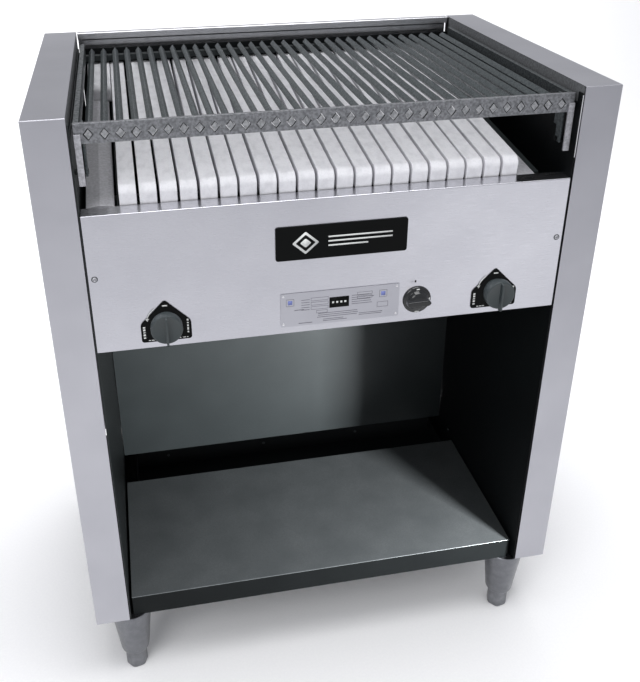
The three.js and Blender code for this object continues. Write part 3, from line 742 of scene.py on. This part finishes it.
def name_plate():
    """Black plate with a plain diamond-and-lines device in place of any name."""
    low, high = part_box("name_plate")
    outline = rounded(rectangle(low.x, high.x, low.z, high.z), 4 * MM, 6)
    prism(
        "front_name_plate", outline, low.y, high.y, "xz", "cabinet", "plate_black", PLATE_BLACK,
        ["name_plate"], edge=0.35 * MM,
    )
    x, z = low.x + 42 * MM, (low.z + high.z) / 2

    def add_diamond(bm, half_wide, half_tall, corner, front):
        corners = [(-half_wide, 0), (0, -half_tall), (half_wide, 0), (0, half_tall)]
        ring = rounded([(x + a * MM, z + b * MM) for a, b in corners], corner * MM, 4)
        add_prism(bm, ring, low.y - front * MM, low.y + 0.1 * MM, "xz")

    device = bmesh.new()
    add_diamond(device, 19, 17, 2, 0.15)
    add_diamond(device, 8, 7, 2, 0.45)
    add_piece("name_plate_device", device, "cabinet", PRINT_WHITE)
    ground = bmesh.new()
    add_diamond(ground, 14, 12.5, 1.5, 0.3)
    add_piece("name_plate_device_ground", ground, "cabinet", PLATE_BLACK)
    start, end = low.x + 74 * MM, high.x - 22 * MM
    short_end = start + (end - start) * 0.62
    tall = 2.2
    ends = ((end, 5.5), (end, -1.1), (short_end, -7.7))
    lines = [(start, x1, z + level * MM, z + (level + tall) * MM) for x1, level in ends]
    marks("name_plate_lines", lines, low.y, "cabinet", PRINT_WHITE)


def rating_plate():
    """Foil plate with blank fields and grey rules that stand for its small print."""
    low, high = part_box("rating_plate")
    outline = rounded(rectangle(low.x, high.x, low.z, high.z), 2 * MM, 4)
    prism(
        "data_plate", outline, low.y, high.y, "xz", "cabinet", "plate_silver", PLATE_SILVER,
        ["rating_plate"], edge=0.1 * MM,
    )
    left, top = low.x, high.z

    def area(x, z, wide, tall):
        """A rectangle in millimetres, whose upper left corner is measured from the plate's."""
        return (left + x * MM, left + (x + wide) * MM, top - (z + tall) * MM, top - z * MM)

    marks("data_plate_window", [area(71, 12, 29, 17)], low.y, "cabinet", PLATE_BLACK)
    dots = [area(75 + 6 * i, 19, 3, 3) for i in range(4)]
    marks("data_plate_window_marks", dots, low.y - 0.1 * MM, "cabinet", PRINT_WHITE)
    boxes = [(44, 10 + 7 * i, 25, 4.6) for i in range(3)] + [(112, 8 + 6 * i, 22, 4) for i in range(2)]
    boxes += [(142, 27, 16, 8), (52, 31, 16, 4), (8, 9, 11, 11), (145, 8, 11, 11)]
    stroke = 0.5
    frames = []
    for x, z, wide, tall in boxes:
        frames += [area(x, z, wide, stroke), area(x, z + tall, wide, stroke)]
        frames += [area(x, z, stroke, tall), area(x + wide, z, stroke, tall)]
    marks("data_plate_fields", frames, low.y, "cabinet", PRINT_GREY)
    squares = [area(10.5, 11.5, 6.5, 6.5), area(147.5, 10.5, 6.5, 6.5)]
    marks("data_plate_squares", squares, low.y, "cabinet", PRINT_BLUE)
    rules = [area(30, 12 + 4 * i, 12, 0.8) for i in range(5)]
    rules += [area(104, 12 + 3.4 * i, rng.uniform(24, 34), 0.8) for i in range(5)]
    rules += [area(51 + rng.uniform(0, 4), 36 + 3 * i, rng.uniform(52, 66), 0.8) for i in range(3)]
    rules += [area(62, 46 + 2.6 * i, rng.uniform(30, 42), 0.8) for i in range(2)]
    rules += [area(115, 42 + 2.6 * i, rng.uniform(34, 42), 0.8) for i in range(2)]
    rules += [area(20, 27, 14, 1), area(26, 49, 20, 0.9)]
    marks("data_plate_rules", rules, low.y, "cabinet", PRINT_GREY)
    rivet = [(0, 0), (1.9 * MM, 0), (1.7 * MM, 0.5 * MM), (1.0 * MM, 0.9 * MM), (0, 1.05 * MM)]
    for number, (x, z) in enumerate(((4, 4), (4, 49), (171, 4), (171, 49)), 1):
        place = Matrix.Translation((left + x * MM, low.y, top - z * MM)) @ TO_FRONT
        turned(
            f"data_plate_rivet_{number}", rivet, place, "cabinet", HIGHLIGHT_AND_RIVET_STEEL,
            segments=20,
        )


def knob_plate(side):
    """Five-sided printed plate with rounded corners, scale ticks and an opening arrow."""
    name = side_name(side)
    low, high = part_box(name + "_knob_bezel")
    x, half = (low.x + high.x) / 2, (high.x - low.x) / 2
    corners = [(-half, -30 * MM), (half, -30 * MM), (half, -1 * MM), (0, 34 * MM), (-half, -1 * MM)]
    outline = rounded([(x + a, CONTROL_Z + b) for a, b in corners], 4.5 * MM, 6)
    prism(
        name + "_knob_plate", outline, low.y, high.y, "xz", "cabinet", "plate_black", PLATE_BLACK,
        [name + "_knob_bezel"], edge=0.3 * MM,
    )
    left_scale = ((-6, 2.4), (-10, 3), (-14, 1.6), (-18, 3), (-22.5, 2))
    right_scale = ((0, 3), (-4.5, 2), (-9, 3), (-14, 4), (-19, 2.4))
    foot_words = ((-24, 3), (-19.5, 4), (-15, 3), (18, 3), (24, 4), (28.5, 2))
    ticks = [(-30.5, b, 3.2, tall) for b, tall in left_scale]
    ticks += [(30, b, 2.4, tall) for b, tall in right_scale]
    ticks += [(a, -27.2, wide, 1.2) for a, wide in foot_words] + [(0, 25.5, 7, 2)]
    marks(
        name + "_knob_plate_ticks", dial_marks(x, ticks), low.y, "cabinet", PRINT_WHITE
    )

    def arc(radius, angles):
        return [(x + radius * math.cos(a), CONTROL_Z + radius * math.sin(a)) for a in angles]

    arrow = bmesh.new()
    front = low.y - PRINT_THICKNESS
    sweep = [math.radians(a) for a in range(125, 166, 8)]
    add_prism(arrow, arc(27 * MM, sweep) + arc(25.8 * MM, sweep[::-1]), front, low.y, "xz")
    tip_x, tip_z = arc(26.4 * MM, sweep[-1:])[0]
    head = [(tip_x + a * MM, tip_z + b * MM) for a, b in ((-2.4, 0.4), (0.3, -3.6), (3, 0.6))]
    add_prism(arrow, head, front, low.y, "xz")
    add_piece(name + "_knob_plate_arrow", arrow, "cabinet", PRINT_WHITE)


def burner_knob(side):
    """Round knob with a thin pointer fin across its face."""
    name = side_name(side)
    low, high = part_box(name + "_knob")
    x, radius = (low.x + high.x) / 2, (high.x - low.x) / 2
    body = name + "_knob_body"
    rim = [
        (4.5, 23.9), (3, 24.8), (1.8, 25), (0.5, 24.4), (0, 23), (0, 13), (0.5, 11.6), (2, 11),
        (4, 10.5), (4, 4),
    ]
    profile = [(radius - inset * MM, height * MM) for inset, height in rim]
    turned(
        name + "_knob_dial", [(0, 23.4 * MM), *profile, (0, 4 * MM)],
        Matrix.Translation((x, FRONT, CONTROL_Z)) @ TO_FRONT, body, KNOB_BLACK,
        [name + "_knob"], segments=72,
    )
    front, disc = low.y + 0.2 * MM, FRONT - 23 * MM
    top, bottom = CONTROL_Z + radius - 1.2 * MM, low.z + 0.2 * MM
    fin = [
        (disc, bottom), (front + 2.5 * MM, bottom), (front, bottom + 3 * MM),
        (front, top - 5 * MM), (front + 2 * MM, top - 1 * MM), (disc, top),
    ]
    prism(
        name + "_knob_fin", fin, x - 1.5 * MM, x + 1.5 * MM, "yz", body, "knob_black", KNOB_BLACK,
        edge=0.5 * MM,
    )


def pilot_knob():
    """Glossy round skirt with a domed hub and a D-shaped bar grip across it."""
    low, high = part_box("pilot_knob")
    x, rim = (low.x + high.x) / 2, (high.x - low.x) / 2 / MM
    body = "pilot_knob_body"
    profile = [
        (0, 6.6), (4.4, 6.6), (rim - 0.6, 6.6), (rim, 7.4), (rim, 10.4), (rim - 1, 12), (17.4, 12.9),
        (15.6, 13), (15, 13.6), (14.4, 16.5), (12, 19.2), (8, 20.4), (0, 20.8),
    ]
    turned(
        "pilot_knob_skirt", [(r * MM, h * MM) for r, h in profile],
        Matrix.Translation((x, FRONT, CONTROL_Z)) @ TO_FRONT, body, GLOSS_BLACK,
        ["pilot_knob"], segments=72, sharp=45,
    )
    grip = rounded([(-17.5, -3.6), (14, -4.4), (18, 0), (14, 4.4), (-17.5, 3.6)], 2.2, 5)
    outline = [(x + a * MM, CONTROL_Z + b * MM) for a, b in grip]
    prism(
        "pilot_knob_grip", outline, FRONT - 25.8 * MM, FRONT - 13 * MM, "xz", body, "knob_black",
        GLOSS_BLACK, edge=1.5 * MM, segments=4,
    )
    spots = dial_marks(x, [(0, 17.6, 4.6, 1.8), (17.8, 0.5, 1.6, 4), (0, -18.2, 6.4, 1.5)])
    marks(
        "pilot_knob_marks", spots, FRONT - 12.7 * MM, body, PRINT_WHITE,
        thickness=0.3 * MM,
    )
    index = dial_marks(x, [(0, rim + 3.3, 2.4, 3.4)])
    marks("pilot_index_mark", index, PANEL_FRONT, "cabinet", PLATE_BLACK)


# ---- storage space, base and legs ----
def shelf():
    """Bare steel shelf whose turned-down front and back lips get a near-black finish: painted shade."""
    low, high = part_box("bottom_shelf")
    outline = [(high.y, high.z - 22 * MM), (high.y, high.z), (low.y, high.z), (low.y, low.z)]
    piece = bent_strip(
        "storage_shelf", outline, low.x, high.x, "cabinet", SHELF_STEEL,
        ["bottom_shelf"], radius=1.2 * MM,
    )
    # the lips are the same sheet as the shelf top; their near-black finish is painted shade
    refinish(piece, LIP_SHADE_BLACK, lambda face: abs(face.normal.z) < 0.3)


def storage_back():
    """Screws in the channel below the seam of the storage back, and one in the right-hand liner."""
    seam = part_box("cabinet_back_panel")[0]
    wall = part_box("right_inner_liner")[0].x + 14 * MM
    places = [
        (f"storage_back_screw_{number}", (x * MM, seam.y, seam.z - 13 * MM), (0, -1, 0))
        for number, x in enumerate((-250, -50, 150, 320), 1)
    ]
    places.append(("right_liner_screw", (wall, FRONT + 335 * MM, seam.z + 9 * MM), (-1, 0, 0)))
    for name, centre, facing in places:
        screw(name, centre, facing, 3 * MM, "cabinet", FIREBOX_BLACK)


def leg(end, side):
    """Tapered leg with a collar round its top, and its foot on a threaded stem."""
    name = f"{end}_{side_name(side)}"
    low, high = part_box(name + "_leg")
    x, y = (low.x + high.x) / 2, (low.y + high.y) / 2
    tall, wide, narrow = high.z - low.z, (high.x - low.x) / 2, LEG_BOTTOM_RADIUS
    profile = [
        (0, tall), (wide - 0.8 * MM, tall), (wide, tall - 0.8 * MM), (wide, tall - 3.6 * MM),
        (wide - 1.6 * MM, tall - 4.6 * MM), (narrow + 0.5 * MM, 4 * MM), (narrow, 2.2 * MM),
        (narrow - 0.6 * MM, 0.6 * MM), (narrow - 1.4 * MM, 0),
        (LEG_BORE_RADIUS, 0), (LEG_BORE_RADIUS, LEG_BORE_DEPTH), (0, LEG_BORE_DEPTH),
    ]
    turned(
        name + "_leg_cone", profile, Matrix.Translation((x, y, low.z)), "cabinet",
        LEG_METAL, [name + "_leg"], segments=64, sharp=40,
    )
    low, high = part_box(name + "_foot")
    body = name + "_foot_body"
    radius = (high.x - low.x) / 2
    angles = [math.pi * i / 3 + 0.2 for i in range(6)]
    corners = [(x + radius * math.cos(a), y + radius * math.sin(a)) for a in angles]
    prism(
        name + "_foot_pad", rounded(corners, radius * 0.3, 5), low.z, FOOT_PAD_TOP, "xy", body,
        "leg_metal", FOOT_METAL, [name + "_foot"], edge=2.2 * MM,
    )
    start = FOOT_PAD_TOP - 1 * MM
    stem = threaded(FOOT_STEM_RADIUS, 0.8 * MM, 2.4 * MM, 24, FOOT_PAD_TOP)
    turned(
        name + "_foot_thread", [(0, start), (FOOT_STEM_RADIUS, start), *stem, (0, high.z)],
        Matrix.Translation((x, y, 0)), body, LEG_METAL, segments=24,
    )


def drip_pan():
    """Tray with rounded folds, rims on the rails and a pull lip."""
    low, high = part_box("drip_pan")
    front, back = low.y + PAN_LIP_REACH, high.y
    bottom, top = low.z, high.z - SHEET
    corners = rectangle(-PAN_HALF, PAN_HALF, front, back)
    points = [(x, y, z) for z in (bottom, top) for x, y in corners]
    points += [(x, y, top) for x in (low.x, high.x) for y in (front, back)]
    faces = [
        (3, 2, 1, 0), (0, 1, 5, 4), (1, 2, 6, 5), (2, 3, 7, 6), (3, 0, 4, 7),
        (7, 4, 8, 9), (5, 6, 11, 10),
    ]
    folds = [(0, 1), (1, 2), (2, 3), (3, 0), (0, 4), (1, 5), (2, 6), (3, 7), (4, 7), (5, 6)]
    sheet_metal(
        "drip_pan_tray", points, faces, folds, "drip_pan_body", SHELF_STEEL,
        ["drip_pan"], radius=1.4 * MM,
    )
    lip = [(front + 1 * MM, top + SHEET), (low.y, top + SHEET), (low.y, top - 9 * MM)]
    bent_strip(
        "drip_pan_lip", lip, -PAN_LIP_HALF, PAN_LIP_HALF, "drip_pan_body", SHELF_STEEL,
        radius=1.4 * MM,
    )


# ---- CAD nodes that stay, with their finishes ----
KEPT = {
    "left_inner_liner": BACK_STEEL,
    # the right liner, a mirror of the left one, is near-black as painted shade
    "right_inner_liner": LINER_BLACK_AND_SHADE,
    "firebox_back_liner": LINER_BLACK_AND_SHADE,
    "cabinet_back_panel": BACK_STEEL,
    "base_frame": LINER_BLACK_AND_SHADE,
    "firebox": FIREBOX_BLACK,
    "gas_manifold": PIPE_BLACK,
    "left_burner_valve": BRASS,
    "right_burner_valve": BRASS,
    "pilot_safety_valve": BRASS,
    "pilot_burner": BRASS,
    "pilot_stem": BRASS,
    "left_burner": CAST_IRON,
    "right_burner": CAST_IRON,
}


def keep_nodes():
    """Gives the CAD nodes that stay visible their finishes."""
    for name, finish in KEPT.items():
        mesh = nodes[name].data
        mesh.materials.clear()
        mesh.materials.append(finish)


# ---- floor, light and camera ----
def make_stage():
    """Light floor that curves up into a low backdrop."""
    made = Finish("floor", (0.93, 0.93, 0.94), roughness=0.6, specular=0.2)
    grain = made.noise(4 * MM)
    made.color(made.blended(made.ranged(grain, 0.0, 1.0), (0.92, 0.92, 0.93), (0.95, 0.95, 0.955)))
    bm = bmesh.new()
    reach, bend_start, bend, backdrop_top = 9.0, 2.5, 1.5, 1.25
    angles = [math.pi / 2 * i / 12 for i in range(1, 13)]
    curve = [(bend_start + bend * math.sin(a), bend - bend * math.cos(a)) for a in angles]
    curve = [(-reach, 0), (bend_start, 0)] + [(y, z) for y, z in curve if z < backdrop_top]
    rows = [[bm.verts.new((x, y, z)) for y, z in curve] for x in (-reach, reach)]
    for i in range(len(curve) - 1):
        bm.faces.new((rows[0][i], rows[1][i], rows[1][i + 1], rows[0][i + 1]))
    mesh = bpy.data.meshes.new("studio_floor")
    bm.to_mesh(mesh)
    bm.free()
    mesh.polygons.foreach_set("use_smooth", [True] * len(mesh.polygons))
    mesh.materials.append(made.material)
    floor = bpy.data.objects.new("studio_floor", mesh)
    bpy.context.scene.collection.objects.link(floor)


def area_light(name, location, target, size, energy, only=()):
    """A square light aimed at a target. With only, it lights no other pieces than those."""
    light = bpy.data.lights.new(name, "AREA")
    light.size = size
    light.energy = energy
    lamp = bpy.data.objects.new(name, light)
    lamp.location = location
    lamp.rotation_mode = "QUATERNION"
    lamp.rotation_quaternion = (Vector(target) - Vector(location)).to_track_quat("-Z", "Y")
    bpy.context.scene.collection.objects.link(lamp)
    if only:
        lit = bpy.data.collections.new(name + "_lit")
        for piece in only:
            lit.objects.link(piece)
        lamp.light_linking.receiver_collection = lit


def make_light():
    """Soft even light, a bright key and overhead, and small lights for the parts that need them."""
    scene = bpy.context.scene
    scene.view_settings.view_transform = "Standard"
    scene.world = bpy.data.worlds.new("studio")
    scene.world.use_nodes = True
    background = scene.world.node_tree.nodes["Background"]
    background.inputs["Color"].default_value = (0.95, 0.96, 1.0, 1)
    background.inputs["Strength"].default_value = 0.6
    middle = (0, 0, 0.7)
    area_light("key", (-1.7, -2.2, 2.6), middle, 1.6, 35)
    area_light("overhead", (0.2, -0.5, 3.0), middle, 1.6, 45)
    pieces = scene.objects
    storage = [pieces["storage_shelf"], pieces["cabinet_back_panel"]]
    area_light("low_front", (0.60, -0.72, 0.42), (0.1, -0.05, 0.2), 0.1, 60, only=storage)
    panel = [pieces["control_panel_sheet"]]
    area_light("panel_sheen", (0.95, -1.5, 0.2), (0.25, FRONT, 0.75), 0.9, 1.1, only=panel)
    for piece in pieces:
        if piece.name.endswith(("_dial", "_fin", "_skirt", "_grip")):
            piece.visible_glossy = False
    rods = [piece for piece in pieces if piece.name.startswith("grate_rod_")]
    area_light("rod_side", (-1.5, 0.9, 1.8), (0, 0, 0.98), 0.8, 9, only=rods)
    area_light("backdrop", (0, 1.4, 2.6), (0, 4.5, 0.2), 2.0, 90)


def make_camera():
    """The viewing angle: from the front left, looking down."""
    azimuth, elevation, roll = (math.radians(a) for a in (10.862, 27.184, -0.469))
    level = Vector((math.cos(azimuth), -math.sin(azimuth), 0))
    forward = Vector((math.sin(azimuth), math.cos(azimuth), 0))
    ahead = forward * math.cos(elevation) - Vector((0, 0, math.sin(elevation)))
    upright = level.cross(ahead)
    right = level * math.cos(roll) + upright * math.sin(roll)
    up = upright * math.cos(roll) - level * math.sin(roll)
    data = bpy.data.cameras.new("camera")
    data.sensor_width = 36
    data.lens = 45.28
    data.shift_x = 0.044
    data.shift_y = -0.0894
    camera = bpy.data.objects.new("camera", data)
    place = Matrix((right, up, -ahead)).transposed().to_4x4()
    place.translation = Vector((-0.26709, -1.30232, 1.30366))
    camera.matrix_world = place
    bpy.context.scene.collection.objects.link(camera)
    bpy.context.scene.camera = camera


# ---- the object ----
for side in (-1, 1):
    column(side)
    grate_bracket(side)
    knob_plate(side)
    burner_knob(side)
    for end in ("front", "rear"):
        leg(end, side)
liner_edge()
rear_rail()
gas_inlet()
grate_front_bar()
grate_rods()
ceramic_bars()
pilot_cover()
firebox_trim()
control_panel()
name_plate()
rating_plate()
pilot_knob()
shelf()
storage_back()
drip_pan()
keep_nodes()
make_stage()
make_light()
make_camera()
